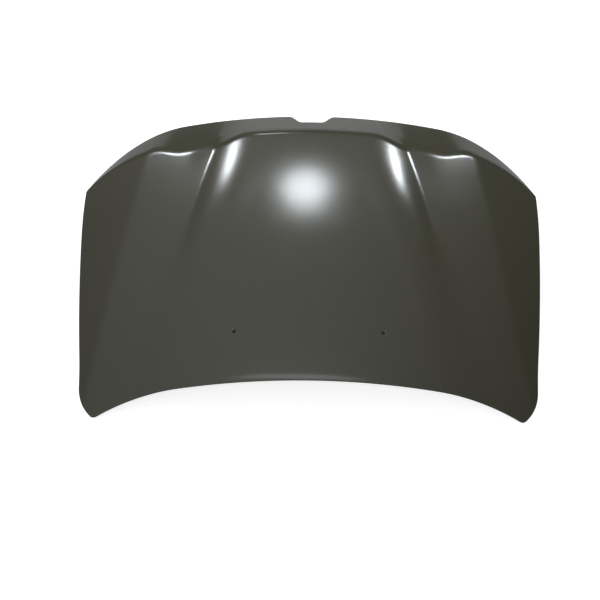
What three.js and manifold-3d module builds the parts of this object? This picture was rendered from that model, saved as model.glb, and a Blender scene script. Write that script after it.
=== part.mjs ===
// Pressed-steel car bonnet: an outer skin hemmed round a stamped inner panel, with the plates,
// weld nuts, striker and mastic dabs that sit between or under the two pressings.
// Millimetres. +X to the car's right, +Y to the front of the car, +Z up. It lies skin side up.

import * as THREE from "three";
import { mergeVertices } from "three/addons/utils/BufferGeometryUtils.js";
import Module from "manifold-3d";

const wasm = await Module();
wasm.setup();

// Sheet and hem
const SKIN = 0.8;
const LINER = 0.7;
const HEM_GAP = 0.45;
const HEM_RETURN = 9;
const EDGE_BAND = 14;
const HEM_RADIUS = (2 * SKIN + LINER + 2 * HEM_GAP) / 2;
const LINER_EDGE = 1.5;
const SEAT = 0.3;

// Plan outline: arcs that run on from each other, each given as [end, radius] from the centre line
const FRONT_Y = 508.4;
const FRONT_ARCS = [[408, 2450], [556, 400], [800, 648]];
const REAR_Y = -383;
const REAR_ARCS = [[407, 3385], [800, 748]];
const HALF_WIDTH = 735;
const WIDEST_Y = 110;
const SIDE_FRONT_ARCS = [[600, 1340]];
const SIDE_REAR_ARCS = [[400, 6600], [505, -1600], [700, 120]];
const NOTCH_DEPTH = 34;
const NOTCH_TOP = 74;
const NOTCH_FLOOR = 32;
const REAR_TIP_CUT = 3;

// Height of the skin along the centre line and its fall to the sides
const SPINE_HEIGHT = 134;
const SPINE_PEAK_Y = 100;
const SPINE_BEND = 1.83e-4;
const SPINE_TIGHTEN = 7.2e-8;
const CROWN = 96;

// Side crease: straight in plan, and the skin falls more steeply outside it
const CREASE_IN_FRONT = 205;
const CREASE_IN_REAR = 40;
const SIDE_CREASE_FRONT = { x: HALF_WIDTH - CREASE_IN_FRONT, y: 360 };
const SIDE_CREASE_REAR = { x: HALF_WIDTH - CREASE_IN_REAR, y: -400 };
const SIDE_SLOPE = 0.13;
const SIDE_FILLET = 9;

// Grille lip: the skin turns down in front to an edge whose height falls to the sides
const LIP_EDGE_HEIGHT = 40;
const LIP_EDGE_FALL = 39;
const LIP_FILLET = 12;
const LIP_FLANK = 110;
const LIP_CENTRE = 82;
const LIP_SHOULDER = 66;
const LIP_CORNER = 5;
const LIP_BLEND = 100;
const LIP_NARROWING = 120;

// Raised centre: its foot line fans out to the rear and bows outward a little
const FOOT_FRONT = { x: 312, y: 360 };
const FOOT_REAR = { x: 512, y: -345 };
const FOOT_BOW = 9;
const BULGE_FRONT = 15;
const BULGE_REAR = 4.5;
const FLANK_FRONT = 78;
const FLANK_REAR = 125;

// Washer jet holes
const JET_X = 232;
const JET_Y = -234;
const JET_RADIUS = 5.5;

// Inner panel: flange in the hem, box beams, and a raised land round each opening
const BEAM_WALL = 11;
const BEAM_DEPTH = 22;
const BEAM_CLEARANCE = 5;
const LAND_DEPTH = 5.5;
const LAND = 15;
const LAND_WALL = 15;
const OPENING_CORNER = 34;
const NOSE_CHAMFER = 155;
const HINGE_CHAMFER = 66;
const HINGE_WEB = 48;
const RIB_WIDTH = 92;
const RIB_FRONT = { x: 160, y: 330 };
const RIB_REAR = { x: 346, y: -290 };
const CROSS_RIB_Y = 44;
const FRONT_BEAM = 205;
const REAR_BEAM = 99;
const SIDE_BEAM = 107;

// Hinge seats and the striker seat, with what is welded to them
const HINGE_INSET = 131;
const HINGE_AHEAD = 31;
const HINGE_SEAT = {
  x: HALF_WIDTH - HINGE_INSET,
  y: REAR_Y + HINGE_AHEAD,
  width: 56,
  length: 92,
  drop: 24,
};
const HINGE_BOLT_PITCH = 50;
const BOLT_HOLE_RADIUS = 5.5;
const HINGE_PLATE = 1.5;
const NUT_FLATS = 13;
const NUT_HEIGHT = 6.5;
const NUT_BORE_RADIUS = 3.4;
const LATCH_BEHIND = 105;
const LATCH_SEAT = { x: 0, y: FRONT_Y - LATCH_BEHIND, width: 130, length: 60, drop: 28 };
const LATCH_PLATE = 1.2;
const STRIKER_MARGIN = 10;
const STRIKER_BASE = 2.5;
const STRIKER_ROD_RADIUS = 4;
const STRIKER_SPAN = 40;
const STRIKER_REACH = 46;
const STRIKER_BEND = 10;
const SEAT_WALL = 12;
const SEAT_CORNER = 10;

const FRONT_HOLES_IN = 104;
const REAR_HOLES_IN = 44;
const SIDE_HOLES_IN = 52;
const FRONT_HOLE_PITCH = 120;
const DAB_RADIUS = 11;
const DAB_GAP = 0.45;

// Points nearer than this are one point of a sheet
const WELD = 0.02;

const mirror = (x) => Math.abs(x);
const clamp = THREE.MathUtils.clamp;
const lerp = THREE.MathUtils.lerp;
const smooth = (t) => THREE.MathUtils.smoothstep(t, 0, 1);

// 0 below a corner and t above it, with a parabola of half width r between
function ramp(t, r) {
  if (t <= -r) return 0;
  return t >= r ? t : (t + r) ** 2 / (4 * r);
}

// Rises from 0 at t = 0 and is level at 1 from t = 1 on, with a sharp foot and a soft shoulder
const rise = (t) => 1 - (1 - clamp(t, 0, 1)) ** 2;

// Tangent arcs as a function: the value at a distance from the start, which the curve leaves level
function arcChain(start, arcs) {
  return (distance) => {
    let from = 0;
    let value = start;
    let sine = 0;
    for (const [end, radius] of arcs) {
      const reach = Math.min(distance, end);
      const next = clamp(sine + (reach - from) / radius, -0.98, 0.98);
      value += radius * (Math.sqrt(1 - next * next) - Math.sqrt(1 - sine * sine));
      if (distance <= end) break;
      from = end;
      sine = next;
    }
    return value;
  };
}

const frontArc = arcChain(FRONT_Y, FRONT_ARCS);
const rearArc = arcChain(REAR_Y, REAR_ARCS);
const sideFrontArc = arcChain(HALF_WIDTH, SIDE_FRONT_ARCS);
const sideRearArc = arcChain(HALF_WIDTH, SIDE_REAR_ARCS);
const frontY = (x) => frontArc(mirror(x));
const rearY = (x) => rearArc(mirror(x));
const halfWidth = (y) => (y > WIDEST_Y ? sideFrontArc(y - WIDEST_Y) : sideRearArc(WIDEST_Y - y));
const notch = (x) => NOTCH_DEPTH * smooth((NOTCH_TOP - mirror(x)) / (NOTCH_TOP - NOTCH_FLOOR));

// The lines that the skin turns on, each as a half width at a place along the car
const along = (a, b, y) => lerp(b.x, a.x, (y - b.y) / (a.y - b.y));
const sideCrease = (y) => along(SIDE_CREASE_FRONT, SIDE_CREASE_REAR, y);
const ribLine = (y) => along(RIB_FRONT, RIB_REAR, y);
function footLine(y) {
  const t = clamp((y - FOOT_REAR.y) / (FOOT_FRONT.y - FOOT_REAR.y), 0, 1);
  return along(FOOT_FRONT, FOOT_REAR, y) + FOOT_BOW * 4 * t * (1 - t);
}

const towardsFront = (y) => smooth((y - FOOT_REAR.y) / (FOOT_FRONT.y - FOOT_REAR.y));
const flank = (y) => lerp(FLANK_REAR, FLANK_FRONT, towardsFront(y));

// How far behind the front edge the grille lip starts: nearer in front of the raised centre, and
// nearer again from the side crease outward
function lipRun(x, y) {
  const crease = SIDE_CREASE_FRONT.x;
  const inBulge = smooth((footLine(y) + LIP_BLEND / 10 - mirror(x)) / LIP_BLEND);
  const shoulder = smooth((mirror(x) - crease) / LIP_NARROWING + 1);
  const corner = clamp((mirror(x) - crease) / (HALF_WIDTH - crease), 0, 1);
  return (
    lerp(lerp(LIP_FLANK, LIP_CENTRE, inBulge), LIP_SHOULDER, shoulder) +
    (LIP_CORNER - LIP_SHOULDER) * corner
  );
}
const lipFillet = (run) => Math.min(LIP_FILLET, run / 5);

// Height of the skin's upper face as it would be without the lip
function crownZ(x, y) {
  const s = y - SPINE_PEAK_Y;
  const spine = SPINE_HEIGHT - SPINE_BEND * s * s - SPINE_TIGHTEN * s ** 3;
  const crown = CROWN * (x / HALF_WIDTH) ** 2;
  const side = SIDE_SLOPE * ramp(mirror(x) - sideCrease(y), SIDE_FILLET);
  const bulge =
    lerp(BULGE_REAR, BULGE_FRONT, towardsFront(y)) * rise((footLine(y) - mirror(x)) / flank(y));
  return spine - crown - side + bulge;
}

// Height of the skin's upper face at a place in plan
function skinZ(x, y) {
  const front = frontY(x);
  const edgeZ = LIP_EDGE_HEIGHT - LIP_EDGE_FALL * (x / HALF_WIDTH) ** 2;
  const slope = (crownZ(x, front) - edgeZ) / lipRun(x, front);
  const run = lipRun(x, y);
  return crownZ(x, y) - slope * ramp(run - (front - y), lipFillet(run));
}

function skinNormal(x, y) {
  const h = 0.5;
  const dx = (skinZ(x + h, y) - skinZ(x - h, y)) / (2 * h);
  const dy = (skinZ(x, y + h) - skinZ(x, y - h)) / (2 * h);
  return new THREE.Vector3(-dx, -dy, 1).normalize();
}

const onSkin = (x, y) => new THREE.Vector3(x, y, skinZ(x, y));

// An open sheet of shared points and faces that look up, and the ways to add to it
class Sheet {
  constructor() {
    this.points = [];
    this.faces = [];
  }

  add(p) {
    return this.points.push(p.clone()) - 1;
  }

  loop(points) {
    return points.map((p) => this.add(p));
  }

  face(a, b, c) {
    this.faces.push([a, b, c]);
  }

  // Quads between two closed loops of one length, the second outside the first. Each is split from
  // the first loop forward to the second, or where crossed says so from the second to the first.
  strip(inner, outer, crossed = []) {
    inner.forEach((a, i) => {
      const next = (i + 1) % inner.length;
      const quad = [a, outer[i], outer[next], inner[next]];
      if (crossed[i]) quad.push(quad.shift());
      this.face(quad[0], quad[1], quad[2]);
      this.face(quad[0], quad[2], quad[3]);
    });
  }

  // Triangulation in plan between a loop and the loops inside it, with no sliver that a flip avoids
  fill(outer, holes = []) {
    const plan = (loop) => loop.map((i) => new THREE.Vector2(this.points[i].x, this.points[i].y));
    const all = [...outer, ...holes.flat()];
    const faces = THREE.ShapeUtils.triangulateShape(plan(outer), holes.map(plan));
    flipToDelaunay(plan(all), faces);
    for (const [a, b, c] of faces) this.face(all[a], all[b], all[c]);
  }

  // The closed solid of this sheet and its copy a thickness below it
  thicken(thickness) {
    const open = new THREE.BufferGeometry();
    open.setAttribute("position", new THREE.Float32BufferAttribute(this.points.flatMap((p) => p.toArray()), 3));
    open.setIndex(this.faces.flat());
    const merged = mergeVertices(open, WELD);
    const at = merged.getAttribute("position");
    const points = Array.from({ length: at.count }, (_, i) => new THREE.Vector3().fromBufferAttribute(at, i));
    const faces = [];
    const index = merged.index.array;
    for (let i = 0; i < index.length; i += 3) {
      const [a, b, c] = index.slice(i, i + 3);
      if (a !== b && b !== c && a !== c) faces.push([a, b, c]);
    }
    const normals = cornerNormals(points, faces);
    const below = points.map((p, i) => p.clone().addScaledVector(normals[i], -thickness));
    const n = points.length;
    const solid = [...faces, ...faces.map(([a, b, c]) => [a + n, c + n, b + n])];
    for (const [a, b] of openEdges(faces)) solid.push([b, a, a + n], [b, a + n, b + n]);
    return closed([...points, ...below], solid);
  }
}

// Swaps the shared edge of two triangles for the other diagonal wherever that opens their angles
function flipToDelaunay(points, faces) {
  const turn = (a, b) => Math.min(Math.abs(a - b), 2 * Math.PI - Math.abs(a - b));
  const angle = (p, a, b) =>
    turn(points[a].clone().sub(points[p]).angle(), points[b].clone().sub(points[p]).angle());
  for (let pass = 0, flipped = true; flipped && pass < 40; pass++) {
    flipped = false;
    const owner = new Map();
    const touched = new Set();
    faces.forEach((face, f) => face.forEach((a, k) => owner.set(`${a} ${face[(k + 1) % 3]}`, f)));
    faces.forEach((face, f) => {
      for (let k = 0; k < 3 && !touched.has(f); k++) {
        const [a, b, c] = [face[k], face[(k + 1) % 3], face[(k + 2) % 3]];
        const g = owner.get(`${b} ${a}`);
        if (g === undefined || touched.has(g)) continue;
        const d = faces[g].find((i) => i !== a && i !== b);
        if (angle(c, a, b) + angle(d, a, b) < Math.PI + 1e-6) continue;
        faces[f] = [c, a, d];
        faces[g] = [c, d, b];
        touched.add(f).add(g);
        flipped = true;
      }
    });
  }
}

// A point's normal, the sum of its faces' normals weighted by their angle there
function cornerNormals(points, faces) {
  const sums = points.map(() => new THREE.Vector3());
  for (const face of faces) {
    const [a, b, c] = face.map((i) => points[i]);
    const normal = b.clone().sub(a).cross(c.clone().sub(a)).normalize();
    face.forEach((i, k) => {
      const p = points[i];
      const to = points[face[(k + 1) % 3]].clone().sub(p);
      const from = points[face[(k + 2) % 3]].clone().sub(p);
      sums[i].addScaledVector(normal, to.angleTo(from));
    });
  }
  return sums.map((v) => v.normalize());
}

function openEdges(faces) {
  const edges = new Map();
  for (const [a, b, c] of faces) {
    for (const [p, q] of [[a, b], [b, c], [c, a]]) edges.set(`${p} ${q}`, [p, q]);
  }
  return [...edges.values()].filter(([p, q]) => !edges.has(`${q} ${p}`));
}

function closed(points, faces) {
  const geometry = new THREE.BufferGeometry();
  geometry.setAttribute("position", new THREE.Float32BufferAttribute(points.flatMap((p) => p.toArray()), 3));
  geometry.setIndex(faces.flat());
  return geometry;
}

// Booleans: a geometry as a solid, and back
function solidOf(geometry) {
  const bare = geometry.clone();
  bare.deleteAttribute("normal");
  bare.deleteAttribute("uv");
  const merged = mergeVertices(bare, 1e-4);
  return new wasm.Manifold(
    new wasm.Mesh({
      numProp: 3,
      vertProperties: new Float32Array(merged.attributes.position.array),
      triVerts: new Uint32Array(merged.index.array),
    }),
  );
}

function cut(geometry, tools) {
  let solid = solidOf(geometry);
  for (const tool of tools) solid = solid.subtract(solidOf(tool));
  const mesh = solid.getMesh();
  const made = new THREE.BufferGeometry();
  made.setAttribute("position", new THREE.BufferAttribute(new Float32Array(mesh.vertProperties), 3));
  made.setIndex(new THREE.BufferAttribute(mesh.triVerts, 1));
  return made;
}

// A round cutter standing at a place in plan
function drill(x, y, radius, z, height, sides = 16) {
  const geometry = new THREE.CylinderGeometry(radius, radius, height, sides);
  return geometry.rotateX(Math.PI / 2).translate(x, y, z);
}

// A polygon in plan moved outward by a distance, and with each corner rounded into an arc
function grow(corners, distance) {
  return corners.map((p, i) => {
    const before = corners.at(i - 1);
    const after = corners[(i + 1) % corners.length];
    const u = p.clone().sub(before).normalize();
    const v = after.clone().sub(p).normalize();
    const out = new THREE.Vector2(u.y + v.y, -u.x - v.x).normalize();
    return p.clone().addScaledVector(out, distance / Math.sqrt((1 + u.dot(v)) / 2));
  });
}

const CORNER_STEPS = 4;
const EDGE_STEP = 62;
const LIP_ROW_STEP = 60;

function rounded(corners, radius, distance = 0) {
  const arcs = (points, r) =>
    points.map((p, i) => {
      const u = p.clone().sub(points.at(i - 1)).normalize();
      const v = points[(i + 1) % points.length].clone().sub(p).normalize();
      const turn = Math.acos(clamp(u.dot(v), -1, 1));
      const start = p.clone().addScaledVector(u, -r * Math.tan(turn / 2));
      const left = new THREE.Vector2(-u.y, u.x);
      const centre = start.clone().addScaledVector(left, r);
      return Array.from({ length: CORNER_STEPS + 1 }, (_, k) => {
        const a = (turn * k) / CORNER_STEPS;
        return centre
          .clone()
          .addScaledVector(left, -r * Math.cos(a))
          .addScaledVector(u, r * Math.sin(a));
      });
    });
  const base = arcs(corners, radius);
  const moved = arcs(grow(corners, distance), radius + distance);
  return moved.flatMap((arc, i) => {
    const next = moved[(i + 1) % moved.length][0];
    const length = base[(i + 1) % base.length][0].distanceTo(base[i].at(-1));
    const steps = Math.max(1, Math.ceil(length / EDGE_STEP));
    const run = Array.from({ length: steps - 1 }, (_, k) => arc.at(-1).clone().lerp(next, (k + 1) / steps));
    return [...arc, ...run];
  });
}

const corner = (x, y) => new THREE.Vector2(x, y);
const circle = (x, y, radius, sides) =>
  Array.from({ length: sides }, (_, k) => {
    const a = (2 * Math.PI * k) / sides;
    return corner(x + radius * Math.cos(a), y + radius * Math.sin(a));
  });
const flip = (corners) => corners.map((p) => corner(-p.x, p.y)).reverse();

// Steps from one value to the next, leaving out the first
const steps = (from, to, count) => Array.from({ length: count }, (_, k) => lerp(from, to, (k + 1) / count));

// Half widths of the skin's columns at a place along the car, out from the centre line
function columns(y) {
  const foot = footLine(y);
  const shoulder = foot - flank(y);
  const crease = Math.min(sideCrease(y), halfWidth(y) - 3 * SIDE_FILLET);
  const notchSide = lerp(NOTCH_FLOOR, NOTCH_TOP, 0.5);
  return [
    0,
    NOTCH_FLOOR,
    lerp(NOTCH_FLOOR, notchSide, 0.5),
    notchSide,
    lerp(notchSide, NOTCH_TOP, 0.5),
    NOTCH_TOP,
    ...steps(NOTCH_TOP, shoulder, 4),
    ...steps(shoulder, foot, 3),
    ...steps(foot, crease - SIDE_FILLET, 4),
    crease + SIDE_FILLET,
    ...steps(crease + SIDE_FILLET, halfWidth(y) - EDGE_BAND, 2),
    halfWidth(y),
  ];
}

// Places of the skin's rows at a half width, from the rear edge to the front
function rows(x, y) {
  const front = frontY(x);
  const rear = rearY(x);
  const fillet = lipFillet(lipRun(x, y));
  const lip = front - Math.max(lipRun(x, y), EDGE_BAND + 3 * fillet);
  return [
    rear,
    rear + EDGE_BAND,
    rear + 2 * EDGE_BAND,
    rear + 4 * EDGE_BAND,
    rear + 6 * EDGE_BAND,
    ...steps(rear + 6 * EDGE_BAND, lip - LIP_ROW_STEP, 11),
    ...steps(lip - LIP_ROW_STEP, lip - fillet, 2),
    lip,
    lip + fillet,
    ...steps(lip + fillet, front - EDGE_BAND, 3),
    front,
  ];
}

// The skin's grid in plan: each point sits on its column's and its row's line
function skinPlan() {
  const columnCount = columns(0).length;
  const rowCount = rows(0, 0).length;
  const half = Array.from({ length: columnCount }, (_, i) =>
    Array.from({ length: rowCount }, (_, j) => {
      let y = lerp(REAR_Y, FRONT_Y, j / (rowCount - 1));
      let x = columns(y)[i];
      for (let k = 0; k < 60; k++) {
        y = lerp(y, rows(x, y)[j], 0.6);
        x = lerp(x, columns(y)[i], 0.6);
      }
      return corner(x, y);
    }),
  );
  const tip = half.at(-1)[0];
  const inward = half.at(-2)[1].clone().sub(tip).normalize();
  tip.addScaledVector(inward, REAR_TIP_CUT);
  for (const column of half) {
    for (const p of column) {
      const fade = clamp(1 - (frontY(p.x) - p.y - EDGE_BAND) / (2.5 * NOTCH_DEPTH), 0, 1);
      p.y -= notch(p.x) * fade;
    }
  }
  const left = half.slice(1).map((column) => column.map((p) => corner(-p.x, p.y)));
  return [...left.reverse(), ...half];
}

// The grid's border, anticlockwise from above. At each place: the grid indices, the point in plan,
// the point across the edge band, which way the band is split, and on the skin the outward
// direction, the normal and the step inward
function border(grid) {
  const across = grid.length - 1;
  const deep = grid[0].length - 1;
  const places = [];
  for (let i = 0; i < across; i++) places.push([i, 0]);
  for (let j = 0; j < deep; j++) places.push([across, j]);
  for (let i = across; i > 0; i--) places.push([i, deep]);
  for (let j = deep; j > 0; j--) places.push([0, j]);
  const points = places.map(([i, j]) => grid[i][j]);
  return places.map(([i, j], k) => {
    const p = points[k];
    const ring = grid[clamp(i, 1, across - 1)][clamp(j, 1, deep - 1)];
    const before = p.clone().sub(points.at(k - 1)).normalize();
    const after = points[(k + 1) % points.length].clone().sub(p).normalize();
    const at = onSkin(p.x, p.y);
    const inward = onSkin(ring.x, ring.y).sub(at);
    const normal = square(skinNormal(p.x, p.y), inward);
    const out = square(new THREE.Vector3(before.y + after.y, -before.x - after.x, 0), normal);
    const crossed = j === deep && i > 0 ? 2 * i > across : 2 * i < across;
    return { i, j, p, ring, crossed, at, normal, out, step: inward.divideScalar(EDGE_BAND) };
  });
}

// The part of a vector that is square to another, made unit length
const square = (v, to) => v.clone().addScaledVector(to, -v.dot(to) / to.lengthSq()).normalize();

const skinGrid = skinPlan();
const edge = border(skinGrid);
const edgeCrossed = edge.map((place) => place.crossed);

const HEM_STEPS = 3;

// A point a depth under the skin, a distance in from its edge
const inHem = ({ at, normal, step }, depth, distance) =>
  at.clone().addScaledVector(normal, -depth).addScaledVector(step, distance);

function outerPanel() {
  const sheet = new Sheet();
  const ids = skinGrid.map((column) => column.map((p) => sheet.add(onSkin(p.x, p.y))));
  for (let i = 0; i + 1 < ids.length; i++) {
    for (let j = 0; j + 1 < ids[0].length; j++) {
      const quad = [ids[i][j], ids[i + 1][j], ids[i + 1][j + 1], ids[i][j + 1]];
      const right = 2 * i + 1 > ids.length - 1;
      if (right !== j > 0) quad.push(quad.shift());
      sheet.face(quad[0], quad[1], quad[2]);
      sheet.face(quad[0], quad[2], quad[3]);
    }
  }
  let last = edge.map(({ i, j }) => ids[i][j]);
  const wrap = (place) => {
    const next = sheet.loop(edge.map(place));
    sheet.strip(last, next, edgeCrossed);
    last = next;
  };
  for (let step = 1; step <= HEM_STEPS; step++) {
    const turn = (Math.PI * step) / HEM_STEPS;
    wrap(({ at, normal, out }) =>
      at
        .clone()
        .addScaledVector(normal, HEM_RADIUS * (Math.cos(turn) - 1))
        .addScaledVector(out, HEM_RADIUS * Math.sin(turn)),
    );
  }
  wrap((place) => inHem(place, 2 * HEM_RADIUS, HEM_RETURN));
  const jets = [-JET_X, JET_X].map((x) => drill(x, JET_Y, JET_RADIUS, skinZ(x, JET_Y), 20));
  return cut(sheet.thicken(SKIN), jets);
}

// A border point pulled in to a line that runs a distance inside the outline
function inset(p, distance) {
  const q = p.clone();
  const slant = (f, at) => Math.hypot(1, f(at + 1) - f(at));
  for (let k = 0; k < 40; k++) {
    const front = frontY(q.x) - notch(q.x) - distance * slant(frontY, q.x);
    const rear = rearY(q.x) + distance * slant(rearY, q.x);
    q.y = lerp(q.y, clamp(q.y, rear, front), 0.7);
    const side = halfWidth(q.y) - distance * slant(halfWidth, q.y);
    q.x = lerp(q.x, clamp(q.x, -side, side), 0.7);
  }
  return q;
}

// The inner panel's upper face: in the hem, on the lands and on the floor of the beams
const underSkin = (p, depth) => {
  const normal = skinNormal(p.x, p.y);
  return onSkin(p.x, p.y).addScaledVector(normal, -depth);
};
const REST_Z = Math.min(...edge.map(({ at }) => at.z)) - 2 * HEM_RADIUS;
const beamZ = (x, y) =>
  Math.min(skinZ(x, y) - LAND_DEPTH, Math.max(skinZ(x, y) - BEAM_DEPTH, REST_Z + BEAM_CLEARANCE));
const onBeam = (p) => new THREE.Vector3(p.x, p.y, beamZ(p.x, p.y));
const onLand = (p) => new THREE.Vector3(p.x, p.y, skinZ(p.x, p.y) - LAND_DEPTH);

// The openings of the inner panel, as corners in plan, anticlockwise
const ribInner = (y) => ribLine(y) - RIB_WIDTH / 2;
const ribOuter = (y) => ribLine(y) + RIB_WIDTH / 2;
const crossFront = CROSS_RIB_Y + RIB_WIDTH / 2;
const crossRear = CROSS_RIB_Y - RIB_WIDTH / 2;
const baysFront = FRONT_Y - FRONT_BEAM;
const baysRear = REAR_Y + REAR_BEAM;
const baysSide = HALF_WIDTH - SIDE_BEAM;

const frontCentre = [
  corner(-ribInner(crossFront), crossFront),
  corner(ribInner(crossFront), crossFront),
  corner(ribInner(baysFront), baysFront),
  corner(-ribInner(baysFront), baysFront),
];
const rearCentre = [
  corner(-ribInner(baysRear), baysRear),
  corner(ribInner(baysRear), baysRear),
  corner(ribInner(crossRear), crossRear),
  corner(-ribInner(crossRear), crossRear),
];
const frontSide = [
  corner(ribOuter(crossFront), crossFront),
  corner(baysSide, crossFront),
  corner(baysSide - NOSE_CHAMFER / 4, baysFront - NOSE_CHAMFER * 0.6),
  corner(baysSide - NOSE_CHAMFER, baysFront),
  corner(ribOuter(baysFront), baysFront),
];
const hingeClear = HINGE_SEAT.y + HINGE_SEAT.length / 2 + HINGE_WEB;
const rearSide = [
  corner(ribOuter(hingeClear), hingeClear),
  corner(baysSide - HINGE_CHAMFER, hingeClear),
  corner(baysSide, hingeClear + HINGE_CHAMFER),
  corner(baysSide, crossRear),
  corner(ribOuter(crossRear), crossRear),
];
const openings = [frontCentre, rearCentre, frontSide, flip(frontSide), rearSide, flip(rearSide)];

// Where mastic dabs stand on the land round an opening: its side's number, and how far along it
const centreFrontDabs = [[0, 0.5], [1, 0.5], [2, 0.5], [3, 0.5]];
const centreRearDabs = [[0, 0.28], [0, 0.72], [1, 0.5], [2, 0.5], [3, 0.5]];
const sideFrontDabs = [[0, 0.5], [2, 0.7], [3, 0.25], [4, 0.5]];
const sideRearDabs = [[0, 0.35], [3, 0.4], [4, 0.5]];

// Flat seats pressed into the beams
const hingeSeats = [-1, 1].map((side) => ({ ...HINGE_SEAT, x: side * HINGE_SEAT.x }));
const seatZ = (seat) => skinZ(seat.x, seat.y) - seat.drop;
const seatCorners = (seat) => [
  corner(seat.x - seat.width / 2, seat.y - seat.length / 2),
  corner(seat.x + seat.width / 2, seat.y - seat.length / 2),
  corner(seat.x + seat.width / 2, seat.y + seat.length / 2),
  corner(seat.x - seat.width / 2, seat.y + seat.length / 2),
];
const boltYs = (seat) => [-1, 1].map((end) => seat.y + (end * HINGE_BOLT_PITCH) / 2);

// Drain and lightening holes through the floor of the beams, on each side
const frontHole = (x, radius) => ({ x, y: frontY(x) - FRONT_HOLES_IN, radius });
const rearHole = (x, radius) => ({ x, y: rearY(x) + REAR_HOLES_IN, radius });
const sideHole = (y, radius) => ({ x: halfWidth(y) - SIDE_HOLES_IN, y, radius });
const BEAM_HOLES = [
  frontHole(RIB_FRONT.x, 17),
  frontHole(FOOT_FRONT.x, 15),
  frontHole(FOOT_FRONT.x + FRONT_HOLE_PITCH, 12),
  sideHole(baysFront - NOSE_CHAMFER / 2, 10),
  sideHole(crossFront + RIB_WIDTH / 2, 8),
  sideHole(crossRear - RIB_WIDTH / 2, 8),
  sideHole(hingeClear + RIB_WIDTH / 2, 8),
  rearHole(RIB_REAR.x / 4, 10),
  rearHole(RIB_REAR.x, 12),
  rearHole(RIB_REAR.x + RIB_WIDTH, 12),
];

function innerPanel() {
  const sheet = new Sheet();
  const hem = sheet.loop(edge.map((place) => inHem(place, SKIN + HEM_GAP, LINER_EDGE)));
  const bend = sheet.loop(edge.map(({ ring }) => underSkin(ring, SKIN + HEM_GAP)));
  const foot = sheet.loop(edge.map(({ p }) => onBeam(inset(p, EDGE_BAND + BEAM_WALL))));
  sheet.strip(bend, hem, edgeCrossed);
  sheet.strip(foot, bend, edgeCrossed);
  const holes = openings.map((corners) => {
    const ring = (distance, place) => sheet.loop(rounded(corners, OPENING_CORNER, distance).map(place));
    const rim = ring(0, onLand);
    const land = ring(LAND, onLand);
    const floor = ring(LAND + LAND_WALL, onBeam);
    sheet.strip(rim, land);
    sheet.strip(land, floor);
    return [...floor].reverse();
  });
  const seats = [...hingeSeats, LATCH_SEAT].map((seat) => {
    const level = (p) => new THREE.Vector3(p.x, p.y, seatZ(seat));
    const flat = sheet.loop(rounded(seatCorners(seat), SEAT_CORNER).map(level));
    const floor = sheet.loop(rounded(seatCorners(seat), SEAT_CORNER, SEAT_WALL).map(onBeam));
    sheet.fill(flat);
    sheet.strip(flat, floor);
    return [...floor].reverse();
  });
  const distinct = foot.filter(
    (id, k) => sheet.points[id].distanceTo(sheet.points[foot.at(k - 1)]) > WELD,
  );
  const drains = BEAM_HOLES.flatMap(({ x, y, radius }) =>
    [-x, x].map((at) => sheet.loop(circle(at, y, radius, 10).map(onBeam)).reverse()),
  );
  sheet.fill(distinct, [...holes, ...seats, ...drains]);
  const bolts = hingeSeats.flatMap((seat) =>
    boltYs(seat).map((y) => drill(seat.x, y, BOLT_HOLE_RADIUS, seatZ(seat), 10)),
  );
  return cut(sheet.thicken(LINER), bolts);
}

// A flat plate with rounded corners, from its lower face up, with round holes
function plate(seat, width, length, thickness, z, holes = []) {
  const outline = seatCorners({ ...seat, width, length });
  const shape = new THREE.Shape(rounded(outline, SEAT_CORNER - 2));
  for (const { x, y, radius } of holes) {
    const path = new THREE.Path();
    path.absarc(x, y, radius, 0, 2 * Math.PI, true);
    shape.holes.push(path);
  }
  const geometry = new THREE.ExtrudeGeometry(shape, {
    depth: thickness,
    bevelEnabled: false,
    curveSegments: 8,
  });
  return geometry.translate(0, 0, z);
}

const hingePlateZ = (seat) => seatZ(seat) + SEAT;
function hingePlate(seat) {
  const holes = boltYs(seat).map((y) => ({ x: seat.x, y, radius: BOLT_HOLE_RADIUS }));
  return plate(seat, seat.width - 4, seat.length - 4, HINGE_PLATE, hingePlateZ(seat), holes);
}

// A six-sided weld nut standing on the hinge plate, with a plain bore
function weldNut(seat, y) {
  const shape = new THREE.Shape();
  const radius = NUT_FLATS / Math.sqrt(3);
  for (let k = 0; k < 6; k++) {
    const a = (Math.PI / 3) * k;
    const place = [seat.x + radius * Math.cos(a), y + radius * Math.sin(a)];
    if (k) shape.lineTo(...place);
    else shape.moveTo(...place);
  }
  const bore = new THREE.Path();
  bore.absarc(seat.x, y, NUT_BORE_RADIUS, 0, 2 * Math.PI, true);
  shape.holes.push(bore);
  const geometry = new THREE.ExtrudeGeometry(shape, {
    depth: NUT_HEIGHT,
    bevelEnabled: false,
    curveSegments: 6,
  });
  return geometry.translate(0, 0, hingePlateZ(seat) + HINGE_PLATE + SEAT);
}

const latchPlate = () =>
  plate(LATCH_SEAT, LATCH_SEAT.width - 6, LATCH_SEAT.length - 6, LATCH_PLATE, seatZ(LATCH_SEAT) + SEAT);

const strikerBaseZ = seatZ(LATCH_SEAT) - LINER - SEAT - STRIKER_BASE;
const strikerBase = () =>
  plate(
    LATCH_SEAT,
    LATCH_SEAT.width - 2 * STRIKER_MARGIN,
    LATCH_SEAT.length - 2 * STRIKER_MARGIN,
    STRIKER_BASE,
    strikerBaseZ,
  );

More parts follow.
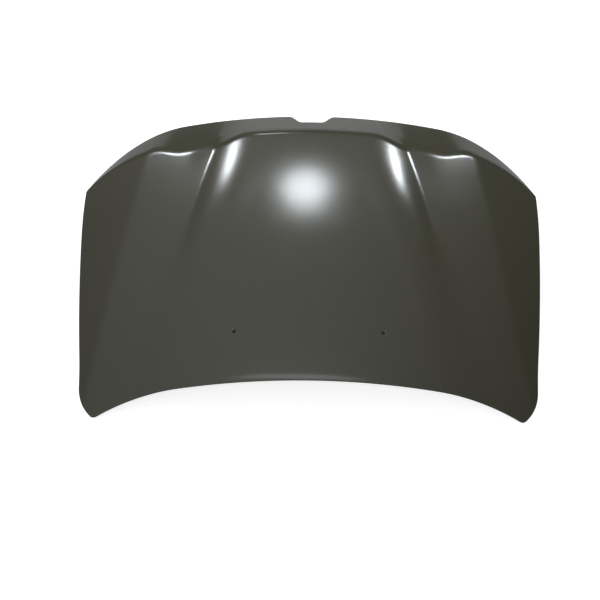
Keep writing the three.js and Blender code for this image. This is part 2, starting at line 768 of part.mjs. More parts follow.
// The striker: round bar bent to a U that hangs from its base plate
function strikerLoop() {
  const top = strikerBaseZ - SEAT;
  const half = STRIKER_SPAN / 2;
  const low = top - STRIKER_REACH;
  const path = new THREE.CurvePath();
  const at = (x, z) => new THREE.Vector3(LATCH_SEAT.x + x, LATCH_SEAT.y, z);
  const line = (a, b) => path.add(new THREE.LineCurve3(a, b));
  const bend = (a, b, c) => path.add(new THREE.QuadraticBezierCurve3(a, b, c));
  line(at(-half, top), at(-half, low + STRIKER_BEND));
  bend(at(-half, low + STRIKER_BEND), at(-half, low), at(-half + STRIKER_BEND, low));
  line(at(-half + STRIKER_BEND, low), at(half - STRIKER_BEND, low));
  bend(at(half - STRIKER_BEND, low), at(half, low), at(half, low + STRIKER_BEND));
  line(at(half, low + STRIKER_BEND), at(half, top));
  const section = new THREE.Shape();
  section.absarc(0, 0, STRIKER_ROD_RADIUS, 0, 2 * Math.PI, false);
  return new THREE.ExtrudeGeometry(section, { steps: 30, curveSegments: 5, extrudePath: path });
}

// A dab of mastic between a land and the underside of the skin
function masticDab({ x, y }) {
  const places = [corner(x, y), ...circle(x, y, DAB_RADIUS, 10)];
  const upper = places.map((p) => underSkin(p, SKIN + DAB_GAP));
  const lower = places.map((p) => onLand(p).add(new THREE.Vector3(0, 0, DAB_GAP)));
  const n = places.length;
  const faces = [];
  for (let k = 1; k < n; k++) {
    const next = (k % (n - 1)) + 1;
    faces.push([0, k, next], [n, n + next, n + k], [k, n + k, n + next], [k, n + next, next]);
  }
  return closed([...upper, ...lower], faces);
}

function dabPlaces(corners, dabs) {
  const middle = grow(corners, LAND / 2);
  return dabs.map(([side, t]) => middle[side].clone().lerp(middle[(side + 1) % middle.length], t));
}

// Materials: electrocoat primer on all the steel, welded pieces included, and bare mastic
const coat = new THREE.MeshStandardMaterial({ color: 0x4a4a42, roughness: 0.42, metalness: 0.1 });
const coatInside = new THREE.MeshStandardMaterial({ color: 0x45453e, roughness: 0.5, metalness: 0.1 });
const mastic = new THREE.MeshStandardMaterial({ color: 0x2a2a29, roughness: 0.9, metalness: 0 });

const bonnet = new THREE.Group();

function piece(name, geometry, material) {
  const mesh = new THREE.Mesh(geometry, material);
  mesh.name = name;
  bonnet.add(mesh);
}

piece("outer_panel", outerPanel(), coat);
piece("inner_panel", innerPanel(), coatInside);
hingeSeats.forEach((seat) => {
  const side = seat.x < 0 ? "left" : "right";
  piece(`hinge_reinforcement_${side}`, hingePlate(seat), coatInside);
  boltYs(seat).forEach((y, k) => {
    piece(`hinge_weld_nut_${side}_${k ? "front" : "rear"}`, weldNut(seat, y), coatInside);
  });
});
piece("latch_reinforcement", latchPlate(), coatInside);
piece("striker_base", strikerBase(), coatInside);
piece("striker_loop", strikerLoop(), coatInside);
const sideDabs = [
  ...dabPlaces(frontSide, sideFrontDabs),
  ...dabPlaces(rearSide, sideRearDabs),
];
const dabs = [
  ...dabPlaces(frontCentre, centreFrontDabs),
  ...dabPlaces(rearCentre, centreRearDabs),
  ...sideDabs,
  ...flip(sideDabs),
];
dabs.forEach((place, k) => piece(`mastic_dab_${k + 1}`, masticDab(place), mastic));

// The origin is on the floor, under the middle of the outline
const box = new THREE.Box3().setFromObject(bonnet);
const middle = box.getCenter(new THREE.Vector3());
bonnet.position.set(0, -middle.y, -box.min.z);

export default bonnet;
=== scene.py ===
import bmesh
import bpy
import numpy as np
from mathutils import Matrix, Quaternion, Vector


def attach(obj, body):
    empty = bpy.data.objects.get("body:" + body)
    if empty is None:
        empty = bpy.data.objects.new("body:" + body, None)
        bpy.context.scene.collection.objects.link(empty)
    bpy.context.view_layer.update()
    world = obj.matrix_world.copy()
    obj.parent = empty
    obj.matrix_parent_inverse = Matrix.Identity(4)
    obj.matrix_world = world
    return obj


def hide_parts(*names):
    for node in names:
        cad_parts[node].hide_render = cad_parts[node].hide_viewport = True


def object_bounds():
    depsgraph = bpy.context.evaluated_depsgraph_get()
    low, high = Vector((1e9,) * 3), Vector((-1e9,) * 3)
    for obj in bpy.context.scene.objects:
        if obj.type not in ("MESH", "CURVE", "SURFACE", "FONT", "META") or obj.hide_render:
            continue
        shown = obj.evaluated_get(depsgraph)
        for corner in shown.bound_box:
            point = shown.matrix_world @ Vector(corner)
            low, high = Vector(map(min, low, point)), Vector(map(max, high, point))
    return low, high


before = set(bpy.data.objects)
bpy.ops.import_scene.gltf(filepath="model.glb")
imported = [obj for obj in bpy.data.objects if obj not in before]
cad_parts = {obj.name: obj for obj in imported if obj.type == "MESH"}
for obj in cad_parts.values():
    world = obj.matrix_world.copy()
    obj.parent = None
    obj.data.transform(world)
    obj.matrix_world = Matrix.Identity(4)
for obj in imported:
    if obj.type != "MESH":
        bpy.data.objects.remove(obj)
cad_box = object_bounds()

# The bonnet's outline and heights in millimetres, as the CAD has them. x is to the car's right,
# y to its front, and what holds for one side holds for both
SKIN, LINER, HEM_GAP, HEM_RETURN, EDGE_BAND = 0.8, 0.7, 0.45, 9.0, 14.0
HEM_RADIUS = (2 * SKIN + LINER + 2 * HEM_GAP) / 2
FRONT_Y, FRONT_ARCS = 508.4, [(408, 2450), (556, 400), (800, 648)]
REAR_Y, REAR_ARCS = -383.0, [(407, 3385), (800, 748)]
HALF_WIDTH, WIDEST_Y = 735.0, 110.0
SIDE_FRONT_ARCS, SIDE_REAR_ARCS = [(600, 1340)], [(400, 6600), (505, -1600), (700, 120)]
NOTCH_DEPTH, NOTCH_TOP, NOTCH_FLOOR = 34.0, 74.0, 32.0
SPINE_HEIGHT, SPINE_PEAK_Y, SPINE_BEND, SPINE_TIGHTEN, CROWN = 134, 100, 1.83e-4, 7.2e-8, 96
CREASE_FRONT, CREASE_FRONT_Y, CREASE_REAR, CREASE_REAR_Y = 530.0, 360, 695.0, -400
FOOT_FRONT, FOOT_FRONT_Y, FOOT_REAR, FOOT_REAR_Y, FOOT_BOW = 312.0, 360, 512.0, -345, 9
SIDE_SLOPE, BULGE_FRONT, BULGE_REAR = 0.13, 15.0, 4.5
LIP_EDGE_HEIGHT, LIP_EDGE_FALL, LIP_BLEND, LIP_NARROWING = 40.0, 39.0, 100, 120
LIP_FLANK, LIP_CENTRE, LIP_SHOULDER, LIP_CORNER = 110.0, 82.0, 66.0, 5.0
JET_X, JET_Y, JET_RADIUS = 232.0, -234.0, 5.5

# What the finer skin has of its own: fillets, the flanks' width, a rounder rear corner and a
# rolled rear edge, and slow lifts and dips that put the highlights where the photo has them
LIP_FILLET, SIDE_FILLET, FOOT_FILLET, FLANK = 16.0, 12.0, 8.0, 130.0
LIP_FILLET_MOST, TIP_ROUND, REAR_ROLL, REAR_ROLL_BEND = 1 / 4, 16.0, 24.0, 0.0022
JET_DISH, JET_DISH_REACH, JET_RINGS = 0.5, 3.2, (0, 0.5, 1.2, 2.4, 4.0)
FOOT_SOFTENING, SOFT_IN_LIP, SOFT_BEHIND_Y, SOFT_OVER = 50, 45, 180, 300
FIELD_DIP, FIELD_DIP_REAR, FIELD_DIP_FRONT = 0.7, (60, 130), (400, 170)
OUTER_LIFT, OUTER_LIFT_REACH, OUTER_LIFT_OFF_FOOT = 4.0, 150, (4, 70)
FLANK_LIFT, FLANK_LIFT_REAR, FLANK_LIFT_FRONT = 2.0, (-150, 250), (340, 200)
FLANK_LIFT_OFF_FOOT, FLANK_LIFT_OFF_TOP, FLANK_LIFT_END = 50, 90, 1.5

# The grid of the finer skin: half its width before it is fitted, how many turns the fit takes and
# how far each moves it, how many times its depth the notch's bend reaches back, how far behind
# the lip a key line runs, how many cells from the rear corner its two sides are measured, how many
# times a jet hole's radius its rim takes up, and the steps round the hem and round a jet hole
GRID_HALF, FIT_TURNS, FIT_STEP, NOTCH_FADE, LIP_APPROACH = 700.0, 70, 0.6, 2.5, 60
TIP_ARM, JET_FIELD, HEM_STEPS, JET_SIDES = 8, 2.4, 12, 48

# The steepest that an arc of the outline runs, as a sine
MOST_SINE = 0.98
# What the frame adds to a place in the millimetres above
SHIFT = np.array([0.0, -8.85003662109375, 2.2084596157073975])
# How close points are one point, in metres, and the angle from which an edge stays sharp
WELD, SHARP_DEGREES = 2e-6, 32


def lerp(a, b, t):
    return a + (b - a) * t


def smooth(t):
    t = np.clip(t, 0, 1)
    return t * t * (3 - 2 * t)


def ramp(t, r):
    """0 below zero and t above it, with a fillet of reach r between."""
    return np.where(t <= -r, 0.0, np.where(t >= r, t, (t + r) ** 2 / (4 * r)))


def rise(t):
    """A rise from 0 to 1 that starts steeply and ends level."""
    return 1 - (1 - np.clip(t, 0, 1)) ** 2


def arc_chain(start, arcs):
    """Tangent arcs as a function of the distance from the start."""

    def value(distance):
        d = np.abs(np.asarray(distance, float))
        out = np.full(d.shape, float(start))
        begin, base, sine = 0.0, float(start), 0.0
        for k, (end, radius) in enumerate(arcs):
            root = np.sqrt(1 - sine * sine)
            here = (d >= begin) & ((d <= end) | (k == len(arcs) - 1))
            s = np.clip(sine + (d - begin) / radius, -MOST_SINE, MOST_SINE)
            out = np.where(here, base + radius * (np.sqrt(1 - s * s) - root), out)
            last = np.clip(sine + (end - begin) / radius, -MOST_SINE, MOST_SINE)
            base += radius * (np.sqrt(1 - last * last) - root)
            begin, sine = end, last
        return out

    return value


front_y = arc_chain(FRONT_Y, FRONT_ARCS)
rear_y = arc_chain(REAR_Y, REAR_ARCS)
side_front = arc_chain(HALF_WIDTH, SIDE_FRONT_ARCS)
side_rear = arc_chain(HALF_WIDTH, SIDE_REAR_ARCS)


def half_width(y):
    y = np.asarray(y, float)
    return np.where(y > WIDEST_Y, side_front(y - WIDEST_Y), side_rear(WIDEST_Y - y))


def notch(x):
    """How far the notch cuts the front edge back."""
    return NOTCH_DEPTH * smooth((NOTCH_TOP - np.abs(x)) / (NOTCH_TOP - NOTCH_FLOOR))


def side_crease(y):
    return lerp(CREASE_REAR, CREASE_FRONT, (y - CREASE_REAR_Y) / (CREASE_FRONT_Y - CREASE_REAR_Y))


def foot_line(y):
    """Where the raised centre's flank starts."""
    forward = (y - FOOT_REAR_Y) / (FOOT_FRONT_Y - FOOT_REAR_Y)
    t = np.clip(forward, 0, 1)
    return lerp(FOOT_REAR, FOOT_FRONT, forward) + FOOT_BOW * 4 * t * (1 - t)


def bulge(y):
    """How far the raised centre stands up."""
    forward = (y - FOOT_REAR_Y) / (FOOT_FRONT_Y - FOOT_REAR_Y)
    return lerp(BULGE_REAR, BULGE_FRONT, smooth(forward))


def lip_run(x, y):
    """How far behind the front edge the grille lip starts."""
    ax = np.abs(x)
    in_bulge = smooth((foot_line(y) + LIP_BLEND / 10 - ax) / LIP_BLEND)
    shoulder = smooth((ax - CREASE_FRONT) / LIP_NARROWING + 1)
    corner = np.clip((ax - CREASE_FRONT) / (HALF_WIDTH - CREASE_FRONT), 0, 1)
    run = lerp(lerp(LIP_FLANK, LIP_CENTRE, in_bulge), LIP_SHOULDER, shoulder)
    return run + (LIP_CORNER - LIP_SHOULDER) * corner


def lip_fillet(run):
    return np.minimum(LIP_FILLET, run * LIP_FILLET_MOST)


def between(y, rear, front):
    """1 between two places along the bonnet, each given as where the blend starts and its reach."""
    return smooth((y - rear[0]) / rear[1]) * smooth((front[0] - y) / front[1])


def crown_z(x, y):
    """Height of the skin's upper face as it would be without the lip."""
    ax = np.abs(x)
    s = y - SPINE_PEAK_Y
    spine = SPINE_HEIGHT - SPINE_BEND * s * s - SPINE_TIGHTEN * s**3
    z = spine - CROWN * (ax / HALF_WIDTH) ** 2
    z = z - SIDE_SLOPE * ramp(ax - side_crease(y), SIDE_FILLET)
    z = z - FIELD_DIP * between(y, FIELD_DIP_REAR, FIELD_DIP_FRONT)
    behind_lip = front_y(x) - lip_run(x, y) - y
    near_lip = np.clip(1 - np.maximum(behind_lip, 0) / OUTER_LIFT_REACH, 0, 1) ** 2
    off_foot, blend = OUTER_LIFT_OFF_FOOT
    z = z + OUTER_LIFT * near_lip * smooth((ax - foot_line(y) - off_foot) / blend)
    softening = smooth(-behind_lip / SOFT_IN_LIP) + smooth((SOFT_BEHIND_Y - y) / SOFT_OVER)
    inside = ramp(foot_line(y) - ax, FOOT_FILLET + FOOT_SOFTENING * softening)
    before_top = (FLANK_LIFT_END * FLANK - inside) / FLANK_LIFT_OFF_TOP
    on_flank = smooth(inside / FLANK_LIFT_OFF_FOOT) * smooth(before_top)
    z = z + FLANK_LIFT * on_flank * between(y, FLANK_LIFT_REAR, FLANK_LIFT_FRONT)
    rolled = np.clip(REAR_ROLL - (y - rear_y(x)), 0, REAR_ROLL)
    return z + bulge(y) * rise(inside / FLANK) - REAR_ROLL_BEND * rolled**2


def skin_z(x, y):
    """Height of the skin's upper face."""
    front = front_y(x)
    edge_z = LIP_EDGE_HEIGHT - LIP_EDGE_FALL * (x / HALF_WIDTH) ** 2
    slope = (crown_z(x, front) - edge_z) / lip_run(x, front)
    run = lip_run(x, y)
    return crown_z(x, y) - slope * ramp(run - (front - y), lip_fillet(run))


def skin_normal(x, y):
    h = 0.5
    dx = (skin_z(x + h, y) - skin_z(x - h, y)) / (2 * h)
    dy = (skin_z(x, y + h) - skin_z(x, y - h)) / (2 * h)
    n = np.stack([-dx, -dy, np.ones_like(dx)], -1)
    return n / np.linalg.norm(n, axis=-1, keepdims=True)


def linked(name, data):
    obj = bpy.data.objects.new(name, data)
    bpy.context.scene.collection.objects.link(obj)
    return obj


def mesh_object(name, points, faces):
    """A smooth mesh from points in the millimetres above, held within the CAD's box."""
    mesh = bpy.data.meshes.new(name)
    places = np.clip((np.asarray(points) + SHIFT) / 1000, *map(list, cad_box))
    mesh.from_pydata(places.tolist(), [], [list(f) for f in faces])
    mesh.update()
    mesh.polygons.foreach_set("use_smooth", [True] * len(mesh.polygons))
    return linked(name, mesh)


# Steps between the key lines of the skin's grid, from the middle out and from the rear forward
COLUMN_CUTS = [5, 3, 3, 3, 3, 20, 16, 8, 14, 6, 10, 6]
ROW_CUTS = [6, 4, 6, 50, 10, 10, 16, 4]


def subdivided(keys, counts):
    """Lines in even steps between key lines."""
    out = [keys[0]]
    for a, b, n in zip(keys[:-1], keys[1:], counts):
        out += [lerp(a, b, (k + 1) / n) for k in range(n)]
    return np.array(out)


def columns(y):
    """The grid's places across, at each y."""
    foot, edge = foot_line(y), half_width(y)
    crease = np.minimum(side_crease(y), edge - 3 * SIDE_FILLET)
    mid = (NOTCH_FLOOR + NOTCH_TOP) / 2
    fixed = [0, NOTCH_FLOOR, (NOTCH_FLOOR + mid) / 2, mid, (mid + NOTCH_TOP) / 2, NOTCH_TOP]
    keys = [np.zeros_like(y) + v for v in fixed]
    keys += [foot - FLANK, foot - FOOT_FILLET, foot + FOOT_FILLET]
    keys += [crease - SIDE_FILLET, crease + SIDE_FILLET]
    return subdivided(keys + [edge - EDGE_BAND, edge], COLUMN_CUTS)


def rows(x, y):
    """The grid's places along, at each x."""
    front, rear, run = front_y(x), rear_y(x), lip_run(x, y)
    fillet = lip_fillet(run)
    lip = front - np.maximum(run, EDGE_BAND + 3 * fillet)
    keys = [rear, rear + EDGE_BAND, rear + 2 * EDGE_BAND, rear + 6 * EDGE_BAND]
    keys += [lip - LIP_APPROACH, lip - fillet, lip + fillet, front - EDGE_BAND, front]
    return subdivided(keys, ROW_CUTS)


def round_tip(x, y):
    """Rounds the rear corner of the grid's right half: each place slides along its ray from the
    point where the arc's two ends would meet square on."""
    tip = np.array([x[-1, 0], y[-1, 0]])
    reach = np.array([x[-TIP_ARM, 0], y[-TIP_ARM, 0]]) - tip
    side = np.array([x[-1, TIP_ARM], y[-1, TIP_ARM]]) - tip
    u, v = reach / np.linalg.norm(reach), side / np.linalg.norm(side)
    half = np.arccos(u @ v) / 2
    length = TIP_ROUND / np.tan(half)
    centre = tip + (u + v) / np.linalg.norm(u + v) * TIP_ROUND / np.sin(half)
    base = tip + (u + v) * length
    to_axes = np.linalg.inv(np.column_stack([u, v]))
    for i in range(x.shape[0] - COLUMN_CUTS[-1] - 2, x.shape[0]):
        for j in range(ROW_CUTS[0] + 2):
            a, b = to_axes @ (np.array([x[i, j], y[i, j]]) - tip)
            if a >= length or b >= length:
                continue
            way = np.array([x[i, j], y[i, j]]) - base
            size = np.linalg.norm(way)
            way /= size
            # Along this ray: how far the square corner is, and how far the arc is
            along = to_axes @ way
            flat = min(-length / part for part in along if part < 0)
            off = base - centre
            arc = -off @ way + np.sqrt((off @ way) ** 2 - off @ off + TIP_ROUND**2)
            x[i, j], y[i, j] = base + way * size * arc / flat


def skin_plan():
    """The skin's grid in plan for both halves: arrays [column, row]. Columns and rows bend with
    each other, so each is worked out from the other in turns."""
    nc, nr = sum(COLUMN_CUTS) + 1, sum(ROW_CUTS) + 1
    ci, rj = np.meshgrid(np.arange(nc), np.arange(nr), indexing="ij")
    x = ci / (nc - 1) * GRID_HALF
    y = lerp(REAR_Y, FRONT_Y, rj / (nr - 1))
    for _ in range(FIT_TURNS):
        y = lerp(y, np.take_along_axis(rows(x, y), rj[None], 0)[0], FIT_STEP)
        x = lerp(x, np.take_along_axis(columns(y), ci[None], 0)[0], FIT_STEP)
    round_tip(x, y)
    fade = np.clip(1 - (front_y(x) - y - EDGE_BAND) / (NOTCH_FADE * NOTCH_DEPTH), 0, 1)
    y = y - notch(x) * fade
    return np.concatenate([-x[:0:-1], x]), np.concatenate([y[:0:-1], y])


def square(v, to):
    """The part of each vector that is square to another, made unit length."""
    v = v - to * (v * to).sum(-1, keepdims=True) / (to * to).sum(-1, keepdims=True)
    return v / np.linalg.norm(v, axis=-1, keepdims=True)


def border(x, y):
    """The grid's border anticlockwise: indices, points, normals, outward directions and, for each
    millimetre inward, the step along the skin."""
    a, d = x.shape[0] - 1, x.shape[1] - 1
    places = [(i, 0) for i in range(a)] + [(a, j) for j in range(d)]
    places += [(i, d) for i in range(a, 0, -1)] + [(0, j) for j in range(d, 0, -1)]
    i, j = np.array(places).T
    band = COLUMN_CUTS[-1]
    ri, rj = np.clip(i, band, a - band), np.clip(j, ROW_CUTS[0], d - ROW_CUTS[-1])
    at = np.column_stack([x[i, j], y[i, j], skin_z(x[i, j], y[i, j])])
    ring = np.column_stack([x[ri, rj], y[ri, rj], skin_z(x[ri, rj], y[ri, rj])])
    tangent = (np.roll(at, -1, 0) - np.roll(at, 1, 0))[:, :2]
    normal = square(skin_normal(at[:, 0], at[:, 1]), ring - at)
    out = square(np.column_stack([tangent[:, 1], -tangent[:, 0], np.zeros(len(at))]), normal)
    return i, j, at, normal, out, (ring - at) / EDGE_BAND


def strip(a, b):
    """The faces between two closed loops of the same length."""
    n = len(a)
    return [(a[k], b[k], b[(k + 1) % n], a[(k + 1) % n]) for k in range(n)]


grid_x, grid_y = skin_plan()
edge_i, edge_j, edge_at, edge_normal, edge_out, edge_step = border(grid_x, grid_y)
near_jet = np.hypot(np.abs(grid_x) - JET_X, grid_y - JET_Y) < JET_RADIUS * JET_FIELD


def build_skin():
    """The outer panel: upper face, rolled hem and its return, and the hollow side of the sheet."""
    na, nd = grid_x.shape
    top = np.stack([grid_x, grid_y, skin_z(grid_x, grid_y)], -1)
    low = top - skin_normal(grid_x, grid_y) * SKIN
    index = np.arange(na * nd).reshape(na, nd)
    cells = [
        (i, j)
        for i in range(na - 1)
        for j in range(nd - 1)
        if not near_jet[i : i + 2, j : j + 2].any()
    ]
    faces = [(index[i, j], index[i + 1, j], index[i + 1, j + 1], index[i, j + 1]) for i, j in cells]
    turns = [np.pi * k / HEM_STEPS for k in range(1, HEM_STEPS + 1)]
    at, n, out, step = edge_at, edge_normal, edge_out, edge_step
    loops = [at + n * HEM_RADIUS * (np.cos(t) - 1) + out * HEM_RADIUS * np.sin(t) for t in turns]
    loops.append(at - n * 2 * HEM_RADIUS + step * HEM_RETURN)
    small = HEM_RADIUS - SKIN
    loops.append(at - n * (2 * HEM_RADIUS - SKIN) + step * HEM_RETURN)
    for t in turns[::-1] + [0.0]:
        loops.append(at - n * HEM_RADIUS + n * small * np.cos(t) + out * small * np.sin(t))
    points, total, last = [top.reshape(-1, 3)], na * nd, index[edge_i, edge_j]
    for loop in loops:
        ids = np.arange(total, total + len(loop))
        points.append(loop)
        faces += strip(last, ids)
        last, total = ids, total + len(loop)
    points.append(low.reshape(-1, 3))
    under = index + total
    faces += [(under[i, j], under[i, j + 1], under[i + 1, j + 1], under[i + 1, j]) for i, j in cells]
    faces += strip(last, under[edge_i, edge_j])
    return mesh_object("bonnet_skin", np.concatenate(points), faces)


def build_jet_rim(side):
    """The skin round a washer jet hole: a dished ring from the hole's wall out to the skin's grid."""
    na, nd = grid_x.shape
    edges = set()
    for i in range(na - 1):
        for j in range(nd - 1):
            if near_jet[i : i + 2, j : j + 2].any() and grid_x[i, j] * side > 0:
                quad = [(i, j), (i + 1, j), (i + 1, j + 1), (i, j + 1)]
                edges.update(zip(quad, quad[1:] + quad[:1]))
    rim = {a: b for a, b in edges if (b, a) not in edges}
    loop = [min(rim)]
    while rim[loop[-1]] != loop[0]:
        loop.append(rim[loop[-1]])
    outline = np.array([[grid_x[p], grid_y[p]] for p in loop])
    centre = np.array([side * JET_X, JET_Y])
    turn = np.arctan2(*(outline - centre).T[::-1])
    outline, turn = outline[np.argsort(turn)], np.sort(turn)
    around = np.linspace(-np.pi, np.pi, JET_SIDES, endpoint=False)
    circle = np.stack([np.cos(around), np.sin(around)], 1)
    points, rings, faces = [], [], []

    def add(plan, drop):
        rings.append(np.arange(len(points), len(points) + len(plan)))
        points.extend([*p, float(skin_z(p[0], p[1])) - drop] for p in plan)

    add(centre + JET_RADIUS * circle, SKIN + JET_DISH)
    for beyond in JET_RINGS:
        drop = JET_DISH * (1 - smooth(beyond / JET_DISH_REACH))
        add(centre + (JET_RADIUS + beyond) * circle, drop)
    add(outline, 0)
    for a, b in zip(rings[:-2], rings[1:-1]):
        faces += strip(a, b)
    inner, outer = rings[-2], rings[-1]
    i = j = 0
    # From the last ring out to the grid, each time on the side whose next point comes first
    while i < JET_SIDES or j < len(outer):
        next_inner = -np.pi + 2 * np.pi * (i + 1) / JET_SIDES
        next_outer = turn[(j + 1) % len(outer)] + (2 * np.pi if j + 1 >= len(outer) else 0)
        a, b = inner[i % JET_SIDES], outer[j % len(outer)]
        if j >= len(outer) or (i < JET_SIDES and next_inner <= next_outer):
            faces.append((a, b, inner[(i + 1) % JET_SIDES]))
            i += 1
        else:
            faces.append((a, b, outer[(j + 1) % len(outer)]))
            j += 1
    return mesh_object(f"jet_rim_{'right' if side > 0 else 'left'}", points, faces)


def clean(obj):
    """Joins the points that coincide and turns all faces outward."""
    bm = bmesh.new()
    bm.from_mesh(obj.data)
    bmesh.ops.remove_doubles(bm, verts=bm.verts, dist=WELD)
    bmesh.ops.recalc_face_normals(bm, faces=bm.faces)
    bm.to_mesh(obj.data)
    bm.free()


def node_material(name):
    """A new material, its node tree and its shader."""
    mat = bpy.data.materials.new(name)
    mat.use_nodes = True
    return mat, mat.node_tree, mat.node_tree.nodes["Principled BSDF"]


def noise(tree, scale, detail=2.0):
    texture = tree.nodes.new("ShaderNodeTexNoise")
    texture.inputs["Scale"].default_value = scale
    texture.inputs["Detail"].default_value = detail
    return texture


def roughen(tree, shader, texture, strength, distance):
    bump = tree.nodes.new("ShaderNodeBump")
    bump.inputs["Strength"].default_value = strength
    bump.inputs["Distance"].default_value = distance
    tree.links.new(texture.outputs["Fac"], bump.inputs["Height"])
    tree.links.new(bump.outputs["Normal"], shader.inputs["Normal"])


def map_range(tree, value, ends, **kind):
    """A value taken from one range to another: ends holds both ends of each."""
    node = tree.nodes.new("ShaderNodeMapRange")
    for key, setting in kind.items():
        setattr(node, key, setting)
    for socket, end in zip(("From Min", "From Max", "To Min", "To Max"), ends):
        node.inputs[socket].default_value = end
    tree.links.new(value, node.inputs["Value"])
    return node.outputs["Result"]


def math(tree, operation, a, b):
    """A math node on two values, each a number or another node's output."""
    node = tree.nodes.new("ShaderNodeMath")
    node.operation = operation
    for k, value in enumerate((a, b)):
        if isinstance(value, (int, float)):
            node.inputs[k].default_value = value
        else:
            tree.links.new(value, node.inputs[k])
    return node.outputs[0]


def primer(name, tone, rough):
    """Electrocoat primer: a satin olive grey with a faint orange peel and slow changes of tone."""
    mat, tree, shader = node_material(name)
    coords = tree.nodes.new("ShaderNodeTexCoord")
    slow, fine = noise(tree, 5.0, 3.0), noise(tree, 260.0)
    for texture in (slow, fine):
        tree.links.new(coords.outputs["Object"], texture.inputs["Vector"])
    mix = tree.nodes.new("ShaderNodeMix")
    mix.data_type = "RGBA"
    mix.inputs[6].default_value = (*[c * 0.95 for c in tone], 1)
    mix.inputs[7].default_value = (*[c * 1.05 for c in tone], 1)
    tree.links.new(slow.outputs["Fac"], mix.inputs[0])
    tree.links.new(mix.outputs[2], shader.inputs["Base Color"])
    spread = map_range(tree, slow.outputs["Fac"], (0, 1, rough - 0.02, rough + 0.02))
    tree.links.new(spread, shader.inputs["Roughness"])
    roughen(tree, shader, fine, 0.04, 0.0003)
    shader.inputs["Metallic"].default_value = 0.0
    shader.inputs["IOR"].default_value = 1.5
    return mat


def sealant(name):
    """Mastic: a nearly black, matt and slightly lumpy paste."""
    mat, tree, shader = node_material(name)
    shader.inputs["Base Color"].default_value = (0.018, 0.018, 0.017, 1)
    shader.inputs["Roughness"].default_value = 0.85
    roughen(tree, shader, noise(tree, 180.0), 0.4, 0.001)
    return mat


def paint(obj, mat):
    obj.data.materials.clear()
    obj.data.materials.append(mat)


def pressed_copy(name):
    """A CAD pressing whose shallow facets run into each other, with its cut edges kept sharp."""
    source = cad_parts[name]
    mesh = source.data.copy()
    mesh.transform(source.matrix_world)
    if "custom_normal" in mesh.attributes:
        mesh.attributes.remove(mesh.attributes["custom_normal"])
    bm = bmesh.new()
    bm.from_mesh(mesh)
    bmesh.ops.remove_doubles(bm, verts=bm.verts, dist=WELD)
    bm.to_mesh(mesh)
    bm.free()
    mesh.polygons.foreach_set("use_smooth", [True] * len(mesh.polygons))
    mesh.set_sharp_from_angle(angle=np.radians(SHARP_DEGREES))
    return linked(f"{name}_pressing", mesh)


def fit_camera():
    """The camera that was fitted to the photo's outline. Its focal length and the middle of its
    picture are in pixels of the photo, which is 600 wide."""
    azimuth, roll, elevation = np.radians(1.61857), np.radians(-0.90239), np.radians(74.0)
    middle_x, middle_y, focal, side, distance = 309.738, 262.544, 1582.727, 600, 5.0
    level_back, height = np.cos(elevation), np.sin(elevation)
    back = np.array([np.sin(azimuth) * level_back, -np.cos(azimuth) * level_back, height])
    level = np.array([np.cos(azimuth), np.sin(azimuth), 0.0])
    upright = np.cross(back, level)
    right = np.cos(roll) * level + np.sin(roll) * upright
    up = -np.sin(roll) * level + np.cos(roll) * upright
    eye = np.array([0, 0, 0.08]) + back * distance + SHIFT / 1000
    data = bpy.data.cameras.new("camera")
    data.sensor_width = 36
    data.lens = focal * data.sensor_width / side
    data.shift_x = (side / 2 - middle_x) / side
    data.shift_y = (middle_y - side / 2) / side
    camera = linked("camera", data)
    axes = [[right[k], up[k], back[k], eye[k]] for k in range(3)]
    camera.matrix_world = Matrix(axes + [[0, 0, 0, 1]])
    bpy.context.scene.camera = camera


def lamp(name, azimuth, elevation, size, power, length=None, turn=0):
    """A round or oval lamp 3 m away, seen from the bonnet at that azimuth (from +Y towards +X)
    and elevation."""
    data = bpy.data.lights.new(name, "AREA")
    data.shape = "ELLIPSE"
    data.size = size
    data.size_y = length or size
    data.energy = power
    data.color = (0.9, 0.95, 1.0)
    a, e = np.radians(azimuth), np.radians(elevation)
    towards = Vector((np.sin(a) * np.cos(e), np.cos(a) * np.cos(e), np.sin(e)))
    lying = towards.to_track_quat("Z", "Y") @ Quaternion((0, 0, 1), np.radians(turn))
    aim, distance = Vector((0, 0.2, 0.13)), 3
    obj = linked(name, data)
    obj.location = aim + towards * distance
    obj.rotation_euler = lying.to_euler()


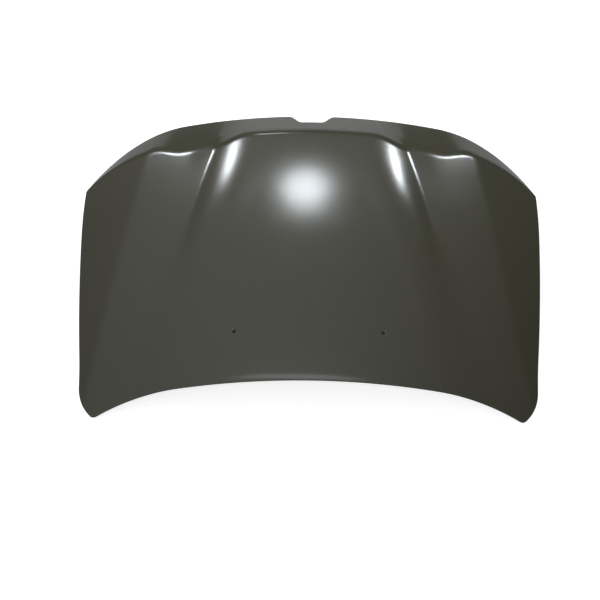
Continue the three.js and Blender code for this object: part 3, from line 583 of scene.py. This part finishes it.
def build_floor():
    """A pale floor. It adds its own light for the camera alone, so that it is white where nothing
    shades it, but not under the bonnet, so that the jet holes look dark. Seen from below it is
    clear, and the lamps under it shine through."""
    # The floor's half width and the dark ground's half width, half length and middle, in metres
    reach, half_width_under, half_length_under, middle = 8, 0.62, 0.36, 0.04
    mesh = bpy.data.meshes.new("floor")
    corners = [(-reach, -reach, 0), (reach, -reach, 0), (reach, reach, 0), (-reach, reach, 0)]
    mesh.from_pydata(corners, [], [(0, 1, 2, 3)])
    floor = linked("floor", mesh)
    mat, tree, shader = node_material("floor")
    shader.inputs["Base Color"].default_value = (0.7, 0.7, 0.7, 1)
    shader.inputs["Roughness"].default_value = 0.8
    shader.inputs["Emission Color"].default_value = (1, 1, 1, 1)
    geometry, path = (tree.nodes.new(f"ShaderNode{kind}") for kind in ("NewGeometry", "LightPath"))
    place = tree.nodes.new("ShaderNodeSeparateXYZ")
    tree.links.new(geometry.outputs["Position"], place.inputs[0])
    across = math(tree, "ABSOLUTE", place.outputs["X"], 0)
    along = math(tree, "ABSOLUTE", math(tree, "SUBTRACT", place.outputs["Y"], middle), 0)
    beside = math(tree, "DIVIDE", across, half_width_under)
    ahead = math(tree, "DIVIDE", along, half_length_under)
    out_from_under = map_range(tree, math(tree, "MAXIMUM", beside, ahead), (0.9, 1.05, 0, 1))
    seen = math(tree, "MULTIPLY", path.outputs["Is Camera Ray"], 0.75)
    glow = math(tree, "MULTIPLY", seen, out_from_under)
    tree.links.new(glow, shader.inputs["Emission Strength"])
    clear = tree.nodes.new("ShaderNodeBsdfTransparent")
    choice = tree.nodes.new("ShaderNodeMixShader")
    share = math(tree, "MAXIMUM", geometry.outputs["Backfacing"], path.outputs["Is Shadow Ray"])
    for k, output in enumerate((share, shader.outputs[0], clear.outputs[0])):
        tree.links.new(output, choice.inputs[k])
    tree.links.new(choice.outputs[0], tree.nodes["Material Output"].inputs["Surface"])
    paint(floor, mat)


def build_world():
    """A sky that is brightest overhead and fades to both sides, most to the car's right, and down
    to the horizon. To the camera it is plain white."""
    world = bpy.data.worlds.new("world")
    world.use_nodes = True
    bpy.context.scene.world = world
    tree = world.node_tree
    sky = tree.nodes["Background"]
    sky.inputs["Color"].default_value = (0.98, 0.99, 1.0, 1)
    turn = tree.nodes.new("ShaderNodeSeparateXYZ")
    coords = tree.nodes.new("ShaderNodeTexCoord")
    tree.links.new(coords.outputs["Generated"], turn.inputs[0])
    fades = [("X", (-0.15, 0.75, 0.8, 0.03)), ("X", (-0.3, -0.9, 1, 0.6)), ("Z", (0.9, 0.3, 1, 0.12))]
    right, left, down = (
        map_range(tree, turn.outputs[axis], ends, interpolation_type="SMOOTHSTEP")
        for axis, ends in fades
    )
    level = math(tree, "MULTIPLY", math(tree, "MULTIPLY", right, left), down)
    tree.links.new(level, sky.inputs["Strength"])
    white = tree.nodes.new("ShaderNodeBackground")
    white.inputs["Strength"].default_value = 1.0
    white.inputs["Color"].default_value = (1, 1, 1, 1)
    seen = tree.nodes.new("ShaderNodeLightPath").outputs["Is Camera Ray"]
    choice = tree.nodes.new("ShaderNodeMixShader")
    for k, output in enumerate((seen, sky.outputs[0], white.outputs[0])):
        tree.links.new(output, choice.inputs[k])
    tree.links.new(choice.outputs[0], tree.nodes["World Output"].inputs["Surface"])


coat = primer("coat", (0.0495, 0.0475, 0.0325), 0.175)
coat_inside = primer("coat_inside", (0.056, 0.0552, 0.0434), 0.4)
mastic = sealant("mastic")

skin = build_skin()
for piece in [skin, *[build_jet_rim(side) for side in (-1, 1)]]:
    clean(piece)
    paint(piece, coat)
    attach(piece, "root")
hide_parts("outer_panel")

inner = pressed_copy("inner_panel")
paint(inner, coat_inside)
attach(inner, "root")
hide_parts("inner_panel")

for name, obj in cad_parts.items():
    if name not in ("outer_panel", "inner_panel"):
        paint(obj, mastic if name.startswith("mastic") else coat_inside)

fit_camera()
lamp("lamp_centre", -4, 67, 0.5, 21)
lamp("lamp_left", -39, 43, 0.3, 24, 0.62, -25)
lamp("lamp_right", 41, 42, 0.28, 26, 0.62, 25)
lamp("lamp_front", -10, 26, 0.4, 5)
lamp("lamp_rear", 188, 70, 1.4, 3.5, 0.3)
# Two wide lamps under the floor show the underside
lamp("lamp_below_front", -50, -50, 1.2, 24)
lamp("lamp_below_rear", 130, -65, 1.2, 10)
build_floor()
build_world()
bpy.context.scene.view_settings.view_transform = "Standard"
